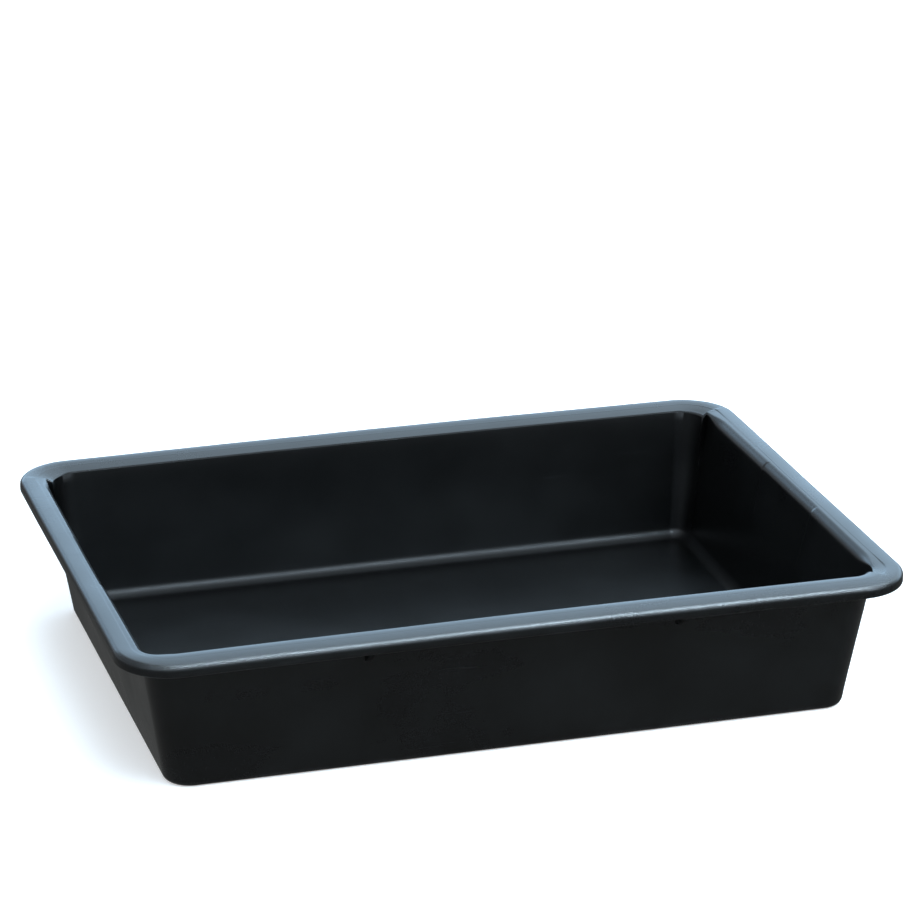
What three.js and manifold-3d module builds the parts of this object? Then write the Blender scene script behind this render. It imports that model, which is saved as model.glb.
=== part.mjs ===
// Spill tray: an open sump moulded in one piece from black polyethylene. Its walls lean outwards,
// and a wide flange runs round the top and turns down into a lip that hands can hold.
// Millimetres, +Z up. The origin is the middle of the underside, and a long side faces -Y.

import * as THREE from 'three';
import { mergeVertices } from 'three/addons/utils/BufferGeometryUtils.js';
import Module from 'manifold-3d';

const wasm = await Module();
wasm.setup();

// Overall sizes, over the rim.
const trayLength = 650;
const trayWidth = 480;
const trayHeight = 123;

// The wall and the floor of the sump.
const wallThickness = 4.5;
const floorThickness = 4.5;
const wallDraft = THREE.MathUtils.degToRad(9.2);
const wallCornerRadius = 26;
const baseEdgeRadius = 8;
const floorFilletRadius = 14;

// The rim: a flange that stands out from the wall, with a lip turned down along its edge.
const rimOverhang = 21;
const rimCornerRadius = 46;
const rimEdgeRadius = 5;
const flangeThickness = 4;
const flangeFilletRadius = 3;
const lipThickness = 4;
const lipDepth = 11;

// Where the top of the rim rounds over into the sump: tight along the sides, wide across the ends.
const sideEdgeRadius = 3;
const endEdgeRadius = 11;

// The small gussets that brace the flange against the wall, two on each long side.
const gussetSpacing = 256;
const gussetThickness = 4.5;
const gussetDepth = 24;
const gussetStep = 2;
const gussetRoot = 1.5;

// How finely the round stretches are cut up.
const cornerDivisions = 4;
const arcSteps = 4;

const flangeUnderside = trayHeight - flangeThickness;
const slope = Math.tan(wallDraft);
const wallAcross = wallThickness / Math.cos(wallDraft);

// A face's inset is its distance in from the outermost face of the rim, at the height z.
const outerInset = (z) => rimOverhang + (trayHeight - z) * slope;
const innerInset = (z) => outerInset(z) + wallAcross;

// The angles of an arc, from first to last in equal steps.
function arcAngles(first, last, steps = arcSteps) {
  return Array.from({ length: steps + 1 }, (_, i) => first + ((last - first) * i) / steps);
}

// One station of the section that is carried round the tray: how far in it lies on the long
// sides and at the ends, its height, and the radius of its corners seen from above.
function station(side, z, corner, end = side) {
  return { side, end, z, corner };
}

// The rounded edge between the underside and the wall, from the bottom up.
function baseEdge() {
  const radius = baseEdgeRadius;
  const centre = outerInset(radius - radius * Math.sin(wallDraft)) + radius * Math.cos(wallDraft);
  return arcAngles(Math.PI / 2, wallDraft).map((angle) => {
    const out = radius * Math.cos(angle);
    const corner = wallCornerRadius - radius * Math.cos(wallDraft) + out;
    return station(centre - out, radius - radius * Math.sin(angle), corner);
  });
}

// The fillet between the outside of the wall and the underside of the flange.
function flangeFillet() {
  const radius = flangeFilletRadius;
  const z = flangeUnderside - radius;
  const centre = outerInset(z + radius * Math.sin(wallDraft)) - radius * Math.cos(wallDraft);
  return arcAngles(wallDraft, Math.PI / 2).map((angle) =>
    station(centre + radius * Math.cos(angle), z + radius * Math.sin(angle), wallCornerRadius));
}

// The lip: down its inside, round its bottom edge and up its outside.
function lip() {
  const radius = lipThickness / 2;
  const z = trayHeight - lipDepth + radius;
  const inside = station(lipThickness, flangeUnderside, rimCornerRadius - lipThickness);
  const bottom = arcAngles(0, Math.PI).map((angle) => {
    const inset = radius + radius * Math.cos(angle);
    return station(inset, z - radius * Math.sin(angle), rimCornerRadius - inset);
  });
  return [inside, ...bottom];
}

// The rounded outer edge of the rim, from the lip up to the flat top.
function rimEdge() {
  const radius = rimEdgeRadius;
  return arcAngles(0, Math.PI / 2).map((angle) => {
    const inset = radius - radius * Math.cos(angle);
    return station(inset, trayHeight - radius + radius * Math.sin(angle), rimCornerRadius - inset);
  });
}

// How far in an edge of this radius lies, at a depth below the top of the rim. The edge starts
// level with the top and ends along the inside of the wall.
function roundedInset(radius, depth) {
  const turn = Math.PI / 2 - wallDraft;
  const start = innerInset(trayHeight) - radius * Math.tan(turn / 2);
  const rounding = radius * (1 - Math.cos(turn));
  if (depth >= rounding) return innerInset(trayHeight - depth);
  return start + Math.sqrt(radius * radius - (radius - depth) * (radius - depth));
}

// The inner edge of the rim. Each station lies level, so both radii are followed by depth.
function innerEdge() {
  const turn = Math.PI / 2 - wallDraft;
  const depths = [sideEdgeRadius, endEdgeRadius].flatMap((radius) =>
    arcAngles(0, turn, arcSteps + 1).map((angle) => radius * (1 - Math.cos(angle))));
  const sorted = [...new Set(depths)].sort((a, b) => a - b);
  return sorted.map((depth) => {
    const side = roundedInset(sideEdgeRadius, depth);
    const end = roundedInset(endEdgeRadius, depth);
    return station(side, trayHeight - depth, wallCornerRadius - wallThickness, end);
  });
}

// The fillet between the inside of the wall and the floor, from the wall down.
function floorFillet() {
  const radius = floorFilletRadius;
  const z = floorThickness + radius;
  const centre = innerInset(z - radius * Math.sin(wallDraft)) + radius * Math.cos(wallDraft);
  const corner = wallCornerRadius - wallThickness - radius * Math.cos(wallDraft);
  return arcAngles(wallDraft, Math.PI / 2).map((angle) => {
    const out = radius * Math.cos(angle);
    return station(centre - out, z - radius * Math.sin(angle), corner + out);
  });
}

// A station's outline seen from above, anticlockwise.
function outline({ side, end, corner }) {
  const x = trayLength / 2 - end - corner;
  const y = trayWidth / 2 - side - corner;
  const shape = new THREE.Shape();
  shape.absarc(x, y, corner, 0, Math.PI / 2);
  shape.absarc(-x, y, corner, Math.PI / 2, Math.PI);
  shape.absarc(-x, -y, corner, Math.PI, 1.5 * Math.PI);
  shape.absarc(x, -y, corner, 1.5 * Math.PI, 2 * Math.PI);
  return shape.getPoints(cornerDivisions);
}

// The skin through all the stations, closed by a flat underside and a flat floor.
function skin(stations) {
  const rings = stations.map((s) => outline(s).map((p) => new THREE.Vector3(p.x, p.y, s.z)));
  const count = rings[0].length;
  const floorCentre = new THREE.Vector3(0, 0, floorThickness);
  const points = [...rings.flat(), new THREE.Vector3(), floorCentre];
  const [underCentre, topCentre] = [points.length - 2, points.length - 1];
  const lastRing = (rings.length - 1) * count;
  const faces = [];
  for (let i = 0; i < count; i += 1) {
    const next = (i + 1) % count;
    for (let ring = 0; ring < lastRing; ring += count) {
      const [a, b, c, d] = [ring + i, ring + next, ring + count + next, ring + count + i];
      faces.push(a, b, c, a, c, d);
    }
    faces.push(underCentre, next, i);
    faces.push(topCentre, lastRing + i, lastRing + next);
  }
  const geometry = new THREE.BufferGeometry().setFromPoints(points);
  geometry.setIndex(faces);
  return geometry;
}

// One gusset under the flange of the rear side. It is rooted in the wall, the flange and the lip.
function gusset(x) {
  const low = trayHeight - gussetDepth;
  const top = flangeUnderside + gussetRoot;
  const atWall = (z) => trayWidth / 2 - outerInset(z) - gussetRoot;
  const atLip = trayWidth / 2 - lipThickness + gussetRoot;
  const plate = new THREE.Shape([
    new THREE.Vector2(atWall(low), low),
    new THREE.Vector2(atLip, trayHeight - lipDepth + gussetStep),
    new THREE.Vector2(atLip, top),
    new THREE.Vector2(atWall(top), top),
  ]);
  const geometry = new THREE.ExtrudeGeometry(plate, { depth: gussetThickness, bevelEnabled: false });
  // The plate is drawn in Y and Z, and its thickness lies along X.
  const axes = new THREE.Matrix4().makeBasis(
    new THREE.Vector3(0, 1, 0), new THREE.Vector3(0, 0, 1), new THREE.Vector3(1, 0, 0));
  geometry.applyMatrix4(axes);
  geometry.translate(x - gussetThickness / 2, 0, 0);
  return geometry;
}

// A closed geometry as a solid, and back.
function toSolid(geometry) {
  const bare = geometry.clone();
  bare.deleteAttribute('normal');
  bare.deleteAttribute('uv');
  const merged = mergeVertices(bare);
  return new wasm.Manifold(new wasm.Mesh({
    numProp: 3,
    vertProperties: new Float32Array(merged.attributes.position.array),
    triVerts: new Uint32Array(merged.index.array),
  }));
}

function toGeometry(solid) {
  const mesh = solid.getMesh();
  const geometry = new THREE.BufferGeometry();
  geometry.setAttribute('position', new THREE.BufferAttribute(mesh.vertProperties, 3));
  geometry.setIndex(new THREE.BufferAttribute(mesh.triVerts, 1));
  geometry.computeVertexNormals();
  return geometry;
}

function trayGeometry() {
  const shell = skin([
    ...baseEdge(),
    ...flangeFillet(),
    ...lip(),
    ...rimEdge(),
    ...innerEdge(),
    ...floorFillet(),
  ]);
  let solid = toSolid(shell);
  for (const x of [-gussetSpacing / 2, gussetSpacing / 2]) {
    const rear = gusset(x);
    const front = rear.clone().rotateZ(Math.PI);
    solid = solid.add(toSolid(rear)).add(toSolid(front));
  }
  return toGeometry(solid);
}

const blackPolyethylene = new THREE.MeshStandardMaterial({
  color: 0x1b1c1f,
  roughness: 0.42,
  metalness: 0,
});

const tray = new THREE.Mesh(trayGeometry(), blackPolyethylene);
tray.name = 'tray';

const spillTray = new THREE.Group();
spillTray.add(tray);

export default spillTray;
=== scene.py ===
# The spill tray, finished: one smooth moulding in satin black polyethylene. Metres, +Z up.
import math
import bmesh
import bpy
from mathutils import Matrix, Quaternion, Vector, noise


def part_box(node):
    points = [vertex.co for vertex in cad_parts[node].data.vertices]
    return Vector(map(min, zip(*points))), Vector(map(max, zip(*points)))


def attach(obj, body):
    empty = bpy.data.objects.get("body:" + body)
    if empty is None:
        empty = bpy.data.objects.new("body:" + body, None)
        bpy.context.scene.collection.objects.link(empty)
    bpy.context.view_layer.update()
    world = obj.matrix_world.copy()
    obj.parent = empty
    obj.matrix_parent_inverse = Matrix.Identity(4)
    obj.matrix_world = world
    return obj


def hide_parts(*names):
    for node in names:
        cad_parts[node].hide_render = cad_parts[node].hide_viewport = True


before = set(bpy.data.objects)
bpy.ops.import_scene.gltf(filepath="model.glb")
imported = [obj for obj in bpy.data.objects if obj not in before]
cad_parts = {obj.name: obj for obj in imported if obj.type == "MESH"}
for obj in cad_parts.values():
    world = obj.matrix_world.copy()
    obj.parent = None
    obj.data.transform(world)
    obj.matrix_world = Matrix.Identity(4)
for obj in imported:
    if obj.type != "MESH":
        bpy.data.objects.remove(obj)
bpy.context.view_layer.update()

low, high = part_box("tray")
mm = 0.001
length, width, height = [(b - a) / mm for a, b in zip(low, high)]  # the shape is worked out in mm
scene = bpy.context.scene


# The camera stands in front and to the left, a little above the rim.

cameraView = {
    "azimuth": -16.40,  # degrees round from straight in front
    "elevation": 19.98,
    "roll": -0.10,
    "target": (0.1456, 0.4591, 0.0),
    "distance": 3.7775,
    "lens": 154.1,
}


def makeCamera(s):
    azimuth, elevation = math.radians(s["azimuth"]), math.radians(s["elevation"])
    level = math.cos(elevation)
    back = Vector((math.sin(azimuth) * level, -math.cos(azimuth) * level, math.sin(elevation)))
    data = bpy.data.cameras.new("camera")
    data.lens = s["lens"]
    data.clip_start, data.clip_end = 0.05, 80
    camera = bpy.data.objects.new("camera", data)
    camera.location = Vector(s["target"]) + back * s["distance"]
    camera.rotation_mode = "QUATERNION"
    roll = Quaternion((0, 0, 1), math.radians(s["roll"]))
    camera.rotation_quaternion = (-back).to_track_quat("-Z", "Y") @ roll
    scene.collection.objects.link(camera)
    scene.camera = camera


makeCamera(cameraView)
print("camera: placed")


# Shader maths: one socket, so that numbers and masks can be written as plain expressions.

class Value:
    def __init__(self, nodes, socket):
        self.nodes, self.socket = nodes, socket

    def maths(self, operation, *terms):
        return self.nodes.add("ShaderNodeMath", {"operation": operation}, dict(enumerate(terms)))

    def __add__(self, other):
        return self.maths("ADD", self, other)

    def __sub__(self, other):
        return self.maths("SUBTRACT", self, other)

    def __rsub__(self, other):
        return self.maths("SUBTRACT", other, self)

    def __mul__(self, other):
        return self.maths("MULTIPLY", self, other)

    __radd__, __rmul__ = __add__, __mul__

    def ramp(self, start, end):  # 0 below start, 1 above end, smooth between
        settings = {"interpolation_type": "SMOOTHSTEP"}
        sockets = {"Value": self, "From Min": start, "From Max": end}
        return self.nodes.add("ShaderNodeMapRange", settings, sockets)


class Nodes:
    def __init__(self, tree):
        self.tree = tree
        tree.nodes.clear()

    def add(self, kind, settings=None, sockets=None, out=0):
        node = self.tree.nodes.new(kind)
        for name, value in (settings or {}).items():
            setattr(node, name, value)
        for name, value in (sockets or {}).items():
            if isinstance(value, Value):
                self.tree.links.new(value.socket, node.inputs[name])
            else:
                node.inputs[name].default_value = value
        return Value(self, node.outputs[out]) if node.outputs else None

    def noise(self, where, scale, detail=2.0, roughness=0.5, stretch=(1, 1, 1)):
        place = self.add("ShaderNodeVectorMath", {"operation": "MULTIPLY"}, {0: where, 1: stretch})
        sockets = {"Vector": place, "Scale": scale, "Detail": detail, "Roughness": roughness}
        return self.add("ShaderNodeTexNoise", {}, sockets)

    def blend(self, factor, first, second):  # of two colours
        sockets = {0: factor, 6: first, 7: second}
        return self.add("ShaderNodeMix", {"data_type": "RGBA"}, sockets, out=2)


# The tray's moulding: a section that is carried round the rim, station by station.

traySection = {
    "draft": 9.2,  # degrees the walls lean outwards
    "wall": 4.5,
    "floor": 4.5,
    "overhang": 20.5,  # of the rim beyond the wall
    "outerCorner": 46.0,
    "wallCornerTop": 31.0,
    "wallCornerBase": 23.0,
    "innerCornerTop": 24.5,
    "baseEdge": 6.5,
    "floorFillet": 11.0,
    "flange": 4.0,
    "flangeFillet": 3.0,
    "lip": 4.0,
    "lipDepth": 11.0,
    "lipFillet": 1.2,
    "outerEdge": 5.0,
    "margin": 0.3,  # kept free inside the frame, for the moulding's unevenness
    # Where the rim's top begins to fall outwards, and how far it falls. Then the same inwards.
    "outerCrown": {"front": (23.0, 1.4), "rear": (11.0, 0.4),
                   "left": (11.0, 0.6), "right": (12.0, 0.5)},
    "innerCrown": {"front": (18.0, 0.05), "rear": (3.0, 1.8),
                   "left": (10.0, 0.3), "right": (7.0, 0.7)},
    "crownEnd": 21.0,
    "innerEdge": {"front": 3.6, "rear": 1.8, "left": 16.0, "right": 9.5},
    # The angle, in degrees, that the inner edge starts with.
    "crease": {"front": 0.0, "rear": 0.0, "left": 36.0, "right": 8.0},
    # Where an end's shape gives way to a side's, in degrees of turn round the corner.
    "handover": {("rear", "right"): (14, 16), ("rear", "left"): (14, 16),
                 ("front", "left"): (0, 75), ("front", "right"): (44, 46)},
    "tightFrom": (165.0, 200.0),  # the ends' edge tightens this far from their middle
    "tightness": 0.8,
    "wallShift": {"front": 0.0, "rear": 0.0, "left": 0.0, "right": 1.5},
    "stepAt": 15.0,  # a shallow step goes round the corners of the ends' edge
    "stepWidth": 0.4,
    "step": 0.06,
    "cornerStep": 0.28,
    "sideShift": 1.3,  # of the inner wall, inwards along the sides
    "endShift": -2.6,  # and outwards at the top of the ends
    "shiftFoot": 60.0,
    "arch": 1.25,  # how far the long rims rise in the middle
    "headroom": 0.1,  # kept free above them
    "archSpan": 300.0,
    "archFrom": (120.0, 200.0),  # across the tray, where the rise sets in
    "jogAt": 58.0,  # the ends' inner edge runs straight between these, and swells beyond
    "jog": 0.5,
    "bow": 1.0,
    "bowReach": 194.0,
    "underRings": (230, 200, 165, 130, 100, 75, 60),  # insets of the rings on the underside
    "flangeRings": (14.0, 11.0, 8.0),
    "floorRings": (70, 85, 105, 130, 165, 200, 230),
    "sharpAngle": 38.0,
}

uneven = {
    "spread": 95.0,
    "offset": (7.3, 2.1, 4.7),
    "amount": 0.28,
    "fade": 30.0,  # it fades out towards the underside, from this height
    "seed": 5,
}

slope = math.tan(math.radians(traySection["draft"]))
noise.seed_set(uneven["seed"])


def smooth(value, start, end):
    t = min(max((value - start) / (end - start), 0.0), 1.0)
    return t * t * (3 - 2 * t)


def trayColumns(s):
    # Where the section stands: (sign x, sign y, angle) in a corner, or a share of a straight.
    straightX = length / 2 - s["outerCorner"]
    straightY = width / 2 - s["outerCorner"]
    spans, cornerSteps = 26, 45
    coarseX = [straightX * i / spans for i in range(1 - spans, spans)]
    fineY = [a * (s["jogAt"] + d) for a in (-1, 1) for d in (-2, -1, 0, 1, 2)]
    fineY += [a * (straightY - d) for a in (-1, 1) for d in (1.5, 3.5, 6, 9, 13, 18, 24, 31)]
    coarseY = [y for y in (8 * i for i in range(-19, 20)) if min(abs(y - f) for f in fineY) > 3]
    alongY = sorted(fineY + coarseY)
    columns = []
    corners = [(1, 1, 0), (-1, 1, 90), (-1, -1, 180), (1, -1, 270)]
    for k, (sx, sy, first) in enumerate(corners):
        for i in range(cornerSteps + 1):
            columns.append(("corner", sx, sy, math.radians(first + 90 * i / cornerSteps)))
        if k % 2 == 0:  # a long side follows
            for x in (coarseX[::-1] if sy > 0 else coarseX):
                columns.append(("side", sy, x / straightX, x))
        else:
            for y in (alongY[::-1] if sx < 0 else alongY):
                columns.append(("end", sx, y / straightY, y))
    return columns


def placeOn(column, inset, corner, z):
    x, y = length / 2 - inset - corner, width / 2 - inset - corner
    kind = column[0]
    if kind == "corner":
        _, sx, sy, angle = column
        return Vector((sx * x + corner * math.cos(angle), sy * y + corner * math.sin(angle), z))
    if kind == "side":
        return Vector((x * column[2], column[1] * (y + corner), z))
    return Vector((column[1] * (x + corner), y * column[2], z))


def endShare(s, column):
    # How much of the end's shape this column has, over the rim's inner edge and over its outer one,
    # how far it is from the end's middle, and the names of its long side and its end.
    if column[0] == "side":
        return 0.0, 0.0, length, "front" if column[1] < 0 else "rear", "left"
    if column[0] == "end":
        _, sx, _, y = column
        return 1.0, 1.0, abs(y), "front" if y < 0 else "rear", "left" if sx < 0 else "right"
    _, sx, sy, angle = column
    side, end = "front" if sy < 0 else "rear", "left" if sx < 0 else "right"
    turned = math.degrees(math.acos(min(1.0, abs(math.cos(angle)))))
    share = 1 - smooth(turned, *s["handover"][side, end])
    along = width / 2 - s["outerCorner"] + turned * 0.5
    return share, math.cos(angle) ** 2, along, side, end


def traySectionAt(s, column):
    # Stations from the middle of the underside, round the rim, to the middle of the floor:
    # (inset, corner radius seen from above, height, wear).
    share, outerShare, along, side, end = endShare(s, column)
    lean = math.radians(s["draft"])
    across = s["wall"] / math.cos(lean)
    top = height - s["arch"] - s["headroom"]
    stations = []

    def mixed(name, part):
        first, last = s[name][side], s[name][end]
        if isinstance(first, tuple):
            return [a * (1 - part) + b * part for a, b in zip(first, last)]
        return first * (1 - part) + last * part

    wallShift = mixed("wallShift", outerShare)

    def outerInset(z):
        return s["overhang"] + wallShift + (top - z) * slope

    def wallCorner(z):
        return s["wallCornerBase"] + (s["wallCornerTop"] - s["wallCornerBase"]) * z / top

    def innerCorner(z):
        drop = s["wallCornerTop"] - s["wallCornerBase"]
        return s["innerCornerTop"] - drop * (top - z) / top

    def arc(first, last, steps):
        return [math.radians(first + (last - first) * i / steps) for i in range(steps + 1)]

    # Underside and base edge.
    r = s["baseEdge"]
    zLow = r - r * math.sin(lean)
    centre = outerInset(zLow) + r * math.cos(lean)
    for inset in s["underRings"]:
        stations.append((inset, max(wallCorner(0) - (inset - centre) * 0.5, 3), 0, 0))
    for a in arc(90, s["draft"], 9):
        out, z = r * math.cos(a), r - r * math.sin(a)
        stations.append((centre - out, wallCorner(0) - r + out, z, math.sin(2 * a) ** 2))
    # Outside of the wall.
    zFlange = top - s["flange"]
    f = s["flangeFillet"]
    zHigh = zFlange - f + f * math.sin(lean)
    for i in range(1, 12):
        z = zLow + (zHigh - zLow) * i / 12
        stations.append((outerInset(z), wallCorner(z), z, 0))
    centre = outerInset(zHigh) - f * math.cos(lean)
    for a in arc(s["draft"], 90, 5):
        z = zFlange - f + f * math.sin(a)
        stations.append((centre + f * math.cos(a), wallCorner(zHigh), z, 0))
    # Underside of the flange, and the lip.
    inside = s["margin"] + s["lip"]
    rimCorner = s["outerCorner"] + s["margin"]

    def rim(inset, z, wear=0.0):
        stations.append((inset, rimCorner - inset, z, wear))

    r = s["lipFillet"]
    for inset in (*s["flangeRings"], inside + r):
        rim(inset, zFlange)
    for a in arc(0, 90, 4)[1:]:
        rim(inside + r - r * math.sin(a), zFlange - r + r * math.cos(a))
    r = s["lip"] / 2
    zLip = top - s["lipDepth"] + r
    for a in arc(0, 180, 10):
        rim(s["margin"] + r + r * math.cos(a), zLip - r * math.sin(a), math.sin(a) ** 2)
    # Outer edge of the rim, and its top.
    outerBegin, outerDrop = mixed("outerCrown", outerShare)
    innerBegin, innerDrop = mixed("innerCrown", share)

    def fall(inset):
        out = max(outerBegin - inset, 0.0) / (outerBegin - s["margin"])
        inwards = max(inset - innerBegin, 0.0) / (s["crownEnd"] - innerBegin)
        return outerDrop * out ** 2 + innerDrop * inwards ** 2

    def fallSlope(inset):
        return (fall(inset + 0.05) - fall(inset - 0.05)) / 0.1

    r = s["outerEdge"]
    edgeFoot = s["margin"] + r
    for _ in range(6):
        tilt = math.atan(-fallSlope(edgeFoot))
        edgeFoot = s["margin"] + r - r * math.sin(tilt)
    zCentre = top - fall(edgeFoot) - r * math.cos(tilt)
    rim(s["margin"], (zLip + zCentre) / 2)
    for a in arc(90, math.degrees(tilt), 14):
        rim(s["margin"] + r - r * math.sin(a), zCentre + r * math.cos(a), math.sin(2 * a) ** 2)

    # The inner edge: where it starts and turns.
    jogged = smooth(along, s["jogAt"] - 1, s["jogAt"] + 1) * share
    tight = 0.0 if (side, end) == ("front", "left") else smooth(along, *s["tightFrom"])
    step = (s["step"] + (s["cornerStep"] - s["step"]) * tight) * share
    r = mixed("innerEdge", share) * (1 - s["tightness"] * tight * share)
    crease = math.radians(mixed("crease", share)) * (1 - tight)
    middle = 1 - smooth(along, 0, s["bowReach"])
    endShift = s["endShift"] - s["bow"] * middle + s["jog"] * jogged

    def shift(z):
        most = s["sideShift"] * (1 - share) + endShift * share
        return most * smooth(z, top - s["shiftFoot"], top)

    start, last = s["crownEnd"], math.radians(90 - s["draft"])
    for _ in range(8):
        first = math.atan(fallSlope(start)) + crease
        zCentre = top - fall(start) - step - r * math.cos(first)
        zEnd = zCentre + r * math.cos(last)
        iCentre = outerInset(zEnd) + across + shift(zEnd) - r * math.sin(last)
        start = iCentre + r * math.sin(first)
    stepAt = min(s["stepAt"] - s["jog"] * jogged, start - 1.2)
    for i in range(1, 9):
        inset = edgeFoot + (stepAt - edgeFoot) * i / 9
        rim(inset, top - fall(inset))
    rim(stepAt, top - fall(stepAt), 0.6 * share)
    rim(stepAt + 0.25 * s["stepWidth"], top - fall(stepAt) - 0.15 * step, 0.3 * share)
    rim(stepAt + 0.75 * s["stepWidth"], top - fall(stepAt) - 0.85 * step)
    foot = stepAt + s["stepWidth"]
    rim(foot, top - fall(foot) - step)
    for i in range(1, 6):
        inset = foot + (start - foot) * i / 6
        rim(inset, top - fall(inset) - step)
    steps = 12
    for i in range(steps + 1):
        a = first + (last - first) * i / steps
        t = i / steps
        inset, z = iCentre + r * math.sin(a), zCentre + r * math.cos(a)
        corner = (rimCorner - inset) * (1 - t) + innerCorner(z) * t
        stations.append((inset, corner, z, math.sin(math.pi * t) ** 2))
    # Inside of the wall and the floor.
    r = s["floorFillet"]
    zc = s["floor"] + r
    zFoot = zc - r * math.sin(lean)
    for i in range(1, 14):
        z = zEnd + (zFoot - zEnd) * i / 14
        stations.append((outerInset(z) + across + shift(z), innerCorner(z), z, 0))
    centre = outerInset(zFoot) + across + r * math.cos(lean)
    cornerFoot = innerCorner(zFoot)
    for a in arc(s["draft"], 90, 10):
        out = r * math.cos(a)
        stations.append((centre - out, max(cornerFoot - r + out, 4), zc - r * math.sin(a), 0))
    for inset in s["floorRings"]:
        stations.append((inset, max(cornerFoot - r - (inset - centre) * 0.5, 3), s["floor"], 0))
    return stations


def unevenness(s, p):  # the gentle warp that a moulding cools with
    shift = noise.noise_vector(p / s["spread"] + Vector(s["offset"]))
    return shift * s["amount"] * smooth(p.z, 0, s["fade"])


def trayMesh(s):
    columns = trayColumns(s)
    sections = [traySectionAt(s, c) for c in columns]
    count, rings = len(columns), len(sections[0])
    bm = bmesh.new()
    wear = bm.verts.layers.float.new("wear")
    inner = bm.verts.layers.float.new("inner")
    grid = []
    for c, section in zip(columns, sections):
        line = []
        for k, (inset, corner, z, worn) in enumerate(section):
            p = placeOn(c, inset, corner, z)
            rise = s["arch"] * max(0, 1 - (p.x / s["archSpan"]) ** 2)
            p.z += rise * smooth(abs(p.y), *s["archFrom"]) * (z / height) ** 2
            p += unevenness(uneven, p)
            v = bm.verts.new(p * mm)
            v[wear] = worn
            v[inner] = smooth(k, rings - 38, rings - 26)  # the sump, from the edge down the wall
            line.append(v)
        grid.append(line)
    for i in range(count):
        a, b = grid[i], grid[(i + 1) % count]
        for j in range(rings - 1):
            bm.faces.new((a[j], b[j], b[j + 1], a[j + 1]))
    for ring, order in ((0, -1), (rings - 1, 1)):
        z = sum(line[ring].co.z for line in grid) / count
        middle = bm.verts.new((0, 0, z))
        middle[inner] = float(order > 0)
        for i in range(count):
            a, b = grid[i][ring], grid[(i + 1) % count][ring]
            bm.faces.new((a, b, middle) if order > 0 else (b, a, middle))
    bmesh.ops.recalc_face_normals(bm, faces=bm.faces)
    mesh = bpy.data.meshes.new("trayMoulding")
    bm.to_mesh(mesh)
    bm.free()
    return mesh


# Four gussets brace the rim under its long sides.

gussets = {
    "apart": 256.0,
    "thickness": 4.6,
    "depth": 24.0,
    "toe": 1.0,  # how wide it is at its foot
    "atLip": 9.2,
    "root": 1.6,  # how far it runs into the moulding
    "riseShare": 0.6,  # of the rim's arch, at the gussets
    "rounding": 0.7,
}


def gussetMesh(g, s, x, sy):
    top = height - s["arch"] - s["headroom"]
    zTop = top - s["flange"] + g["root"] + s["arch"] * g["riseShare"]
    lipAt = width / 2 - s["margin"] - s["lip"] + g["root"]
    low = top - g["depth"]
    wallLow, wallTop = [width / 2 - s["overhang"] - (top - z) * slope for z in (low, zTop)]
    outline = [(wallLow - g["root"], low), (wallLow + g["toe"], low), (lipAt, top - g["atLip"]),
               (lipAt, zTop), (wallTop - g["root"], zTop)]
    bm = bmesh.new()
    faces = []
    for side in (-1, 1):
        dx = side * g["thickness"] / 2
        faces.append([bm.verts.new((x + dx, sy * y, z)) for y, z in outline])
    n = len(outline)
    bm.faces.new(faces[0])
    bm.faces.new(faces[1][::-1])
    for i in range(n):
        j = (i + 1) % n
        bm.faces.new((faces[0][i], faces[1][i], faces[1][j], faces[0][j]))
    bmesh.ops.recalc_face_normals(bm, faces=bm.faces)
    bmesh.ops.bevel(bm, geom=bm.edges[:], offset=g["rounding"], segments=3, profile=0.5,
                    affect="EDGES")
    bmesh.ops.scale(bm, vec=(mm, mm, mm), verts=bm.verts)
    mesh = bpy.data.meshes.new("gusset")
    bm.to_mesh(mesh)
    bm.free()
    return mesh


def makeTray():
    tray = bpy.data.objects.new("trayMoulding", trayMesh(traySection))
    scene.collection.objects.link(tray)
    for sx in (-1, 1):
        for sy in (-1, 1):
            x = sx * gussets["apart"] / 2
            piece = bpy.data.objects.new("gusset", gussetMesh(gussets, traySection, x, sy))
            scene.collection.objects.link(piece)
            weld = tray.modifiers.new("weld", "BOOLEAN")
            weld.operation, weld.solver, weld.object = "UNION", "EXACT", piece
            bpy.context.view_layer.update()
            welded = bpy.data.meshes.new_from_object(tray.evaluated_get(
                bpy.context.evaluated_depsgraph_get()))
            tray.modifiers.clear()
            tray.data = welded
            bpy.data.objects.remove(piece)
    tray.data.shade_smooth()
    tray.data.set_sharp_from_angle(angle=math.radians(traySection["sharpAngle"]))
    return tray


tray = makeTray()
print("tray:", len(tray.data.polygons), "faces")


# Satin black polyethylene.

blackPolyethylene = {
    "colour": (0.0012, 0.0014, 0.0015, 1),
    "paler": (0.0026, 0.0029, 0.0031, 1),
    "worn": (0.014, 0.015, 0.016, 1),
    "roughness": 0.22,
    "sumpRoughness": 0.04,  # what the sump has beyond that
    "grain": 1500,
    "pebble": 420,
    "cloud": 14,
    "flow": 5,
    "floorHeights": (0.005, 0.012),  # the sump's floor is scratched more, up to the second
    "scratched": 0.10,
    "floorScratched": 0.25,
    "bumpStrength": 0.22,
    "bumpDistance": 0.00025,
}


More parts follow.
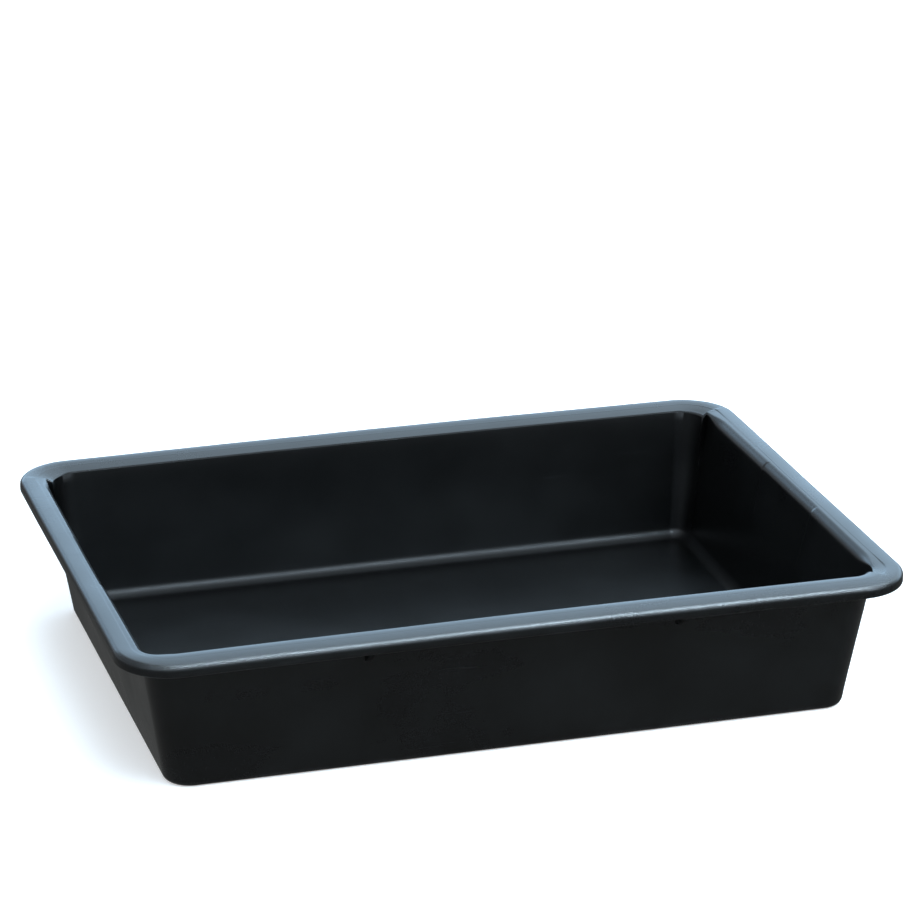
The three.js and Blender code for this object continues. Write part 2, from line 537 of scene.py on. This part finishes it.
def makePolyethylene(s):
    material = bpy.data.materials.new("blackPolyethylene")
    material.use_nodes = True
    n = Nodes(material.node_tree)
    where = n.add("ShaderNodeTexCoord", out="Object")
    above = n.add("ShaderNodeSeparateXYZ", {}, {0: where}, out=2)
    worn = n.add("ShaderNodeAttribute", {"attribute_name": "wear"}, out="Fac")
    grain = n.noise(where, s["grain"], 2, 0.6)
    pebble = n.noise(where, s["pebble"], 2, 0.5)
    cloud = n.noise(where, s["cloud"], 4, 0.55)
    flow = n.noise(where, s["flow"], 3, 0.5, (1, 1, 3))
    scratchA = n.noise(where, 60, 3, 0.6, (0.12, 9, 2)).ramp(0.66, 0.74)
    scratchB = n.noise(where, 55, 3, 0.6, (8, 0.15, 3)).ramp(0.67, 0.75)
    scratches = scratchA + scratchB
    rubbed = worn * cloud.ramp(0.42, 0.66)
    onFloor = 1 - above.ramp(*s["floorHeights"])
    tone = cloud.ramp(0.3, 0.75)
    base = n.blend(tone, s["colour"], s["paler"])
    scratched = scratches * (s["scratched"] + s["floorScratched"] * onFloor)
    base = n.blend(rubbed * 0.6 + scratched, base, s["worn"])
    sump = n.add("ShaderNodeAttribute", {"attribute_name": "inner"}, out="Fac")
    roughness = (s["roughness"] + 0.07 * flow.ramp(0.3, 0.7) + 0.05 * tone
                 - 0.05 * rubbed + 0.08 * scratches + 0.04 * grain + s["sumpRoughness"] * sump)
    bumpHeight = 0.30 * grain + 0.55 * pebble - 0.35 * scratches
    normal = n.add("ShaderNodeBump", {}, {
        "Strength": s["bumpStrength"], "Distance": s["bumpDistance"], "Height": bumpHeight})
    principled = n.add("ShaderNodeBsdfPrincipled", {}, {
        "Base Color": base, "Roughness": roughness, "Normal": normal, "IOR": 1.5})
    n.add("ShaderNodeOutputMaterial", {}, {"Surface": principled})
    return material


polyethylene = makePolyethylene(blackPolyethylene)
tray.data.materials.clear()
tray.data.materials.append(polyethylene)
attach(tray, "root")
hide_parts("tray")
print("material: blackPolyethylene")


# A pale floor, a dark dome with cool patches, lamps overhead and a flag that shades the sump.

studio = {
    "floorColour": (0.80, 0.79, 0.78, 1),
    "floorGlow": (0.42, 0.41, 0.40, 1),  # it is lit from below as well
    "fill": (0.42, 0.46, 0.50, 1),
    "ground": (0.150, 0.155, 0.155, 1),
    "horizon": (-0.03, 0.12),  # heights on the dome
    "panelColour": (2.00, 2.95, 3.90, 1),
    "panelLow": (0.03, 0.17),  # where its lower edge fades in, and so on round it
    "panelHigh": (0.30, 0.50),
    "panelLeft": (-0.42, -0.12),
    "panelBack": (0.10, 0.40),
    "skyColour": (2.6, 3.4, 4.1, 1),
    "skyEdge": (92.0, 30.0),  # degrees from its middle to where it ends, and to where it is full
    "skyBack": (0.0, 0.35),
    "skyLeft": (-0.10, 0.25),
    "frontColour": (1.15, 1.35, 1.55, 1),
    "frontLow": (0.20, 0.45),
    "frontBack": (-0.55, -0.10),
    "topFrom": (0.30, -0.27, 0.915),
    "topDistance": 2.4,
    "topColour": (0.68, 0.86, 1.0),
    "topLamps": ((0.50, 16.0), (1.55, 4.5), (2.60, 1.2)),  # radius and brightness of each
    "flag": (-0.26, 0.48, -0.125, 0.36, 0.35),  # left, right, front and rear, and its height
}


def makeStudio(s):
    bpy.ops.mesh.primitive_plane_add(size=60, location=(0, 0, 0))
    floor = bpy.context.object
    floor.name = "studioFloor"
    floor.visible_glossy = False  # the tray reflects the dome's darker lower half instead
    material = bpy.data.materials.new("palePaper")
    material.use_nodes = True
    n = Nodes(material.node_tree)
    principled = n.add("ShaderNodeBsdfPrincipled", {}, {
        "Base Color": s["floorColour"], "Roughness": 0.9, "Specular IOR Level": 0.0,
        "Emission Color": s["floorGlow"], "Emission Strength": 1.0})
    n.add("ShaderNodeOutputMaterial", {}, {"Surface": principled})
    floor.data.materials.append(material)

    world = bpy.data.worlds.new("dome")
    scene.world = world
    world.use_nodes = True
    n = Nodes(world.node_tree)
    where = n.add("ShaderNodeTexCoord", out="Generated")
    across, back, up = [n.add("ShaderNodeSeparateXYZ", {}, {0: where}, out=i) for i in range(3)]
    middle = Vector(s["topFrom"]).normalized()
    nearness = n.add("ShaderNodeVectorMath", {"operation": "DOT_PRODUCT"}, {0: where, 1: middle},
                     out="Value")

    panel = (up.ramp(*s["panelLow"]) * (1 - up.ramp(*s["panelHigh"]))
             * across.ramp(*s["panelLeft"]) * back.ramp(*s["panelBack"]))
    sky = n.blend(panel, s["fill"], s["panelColour"])
    high = nearness.ramp(*[math.cos(math.radians(a)) for a in s["skyEdge"]])
    high = high * back.ramp(*s["skyBack"]) * across.ramp(*s["skyLeft"])
    sky = n.blend(high, sky, s["skyColour"])
    front = up.ramp(*s["frontLow"]) * (1 - back.ramp(*s["frontBack"]))
    sky = n.blend(front, sky, s["frontColour"])
    dome = n.blend(up.ramp(*s["horizon"]), s["ground"], sky)
    background = n.add("ShaderNodeBackground", {}, {"Color": dome})
    n.add("ShaderNodeOutputWorld", {}, {"Surface": background})

    for i, (radius, brightness) in enumerate(s["topLamps"]):
        data = bpy.data.lights.new("topLamp%d" % i, "AREA")
        data.shape, data.size, data.color = "DISK", 2 * radius, s["topColour"]
        data.energy = brightness * math.pi * math.pi * radius ** 2
        data.cycles.use_multiple_importance_sampling = False
        lamp = bpy.data.objects.new("topLamp%d" % i, data)
        lamp.location = middle * s["topDistance"]
        lamp.rotation_mode = "QUATERNION"
        lamp.rotation_quaternion = middle.to_track_quat("Z", "Y")
        scene.collection.objects.link(lamp)

    left, right, nearest, rear, level = s["flag"]
    mesh = bpy.data.meshes.new("flag")
    mesh.from_pydata([(left, nearest, level), (right, nearest, level), (right, rear, level),
                      (left, rear, level)], [], [(0, 1, 2, 3)])
    flag = bpy.data.objects.new("flag", mesh)
    scene.collection.objects.link(flag)
    flag.visible_camera = flag.visible_glossy = flag.visible_diffuse = False  # it only shades

    scene.view_settings.view_transform = "Standard"


makeStudio(studio)
print("studio: floor, dome, lamps and flag")
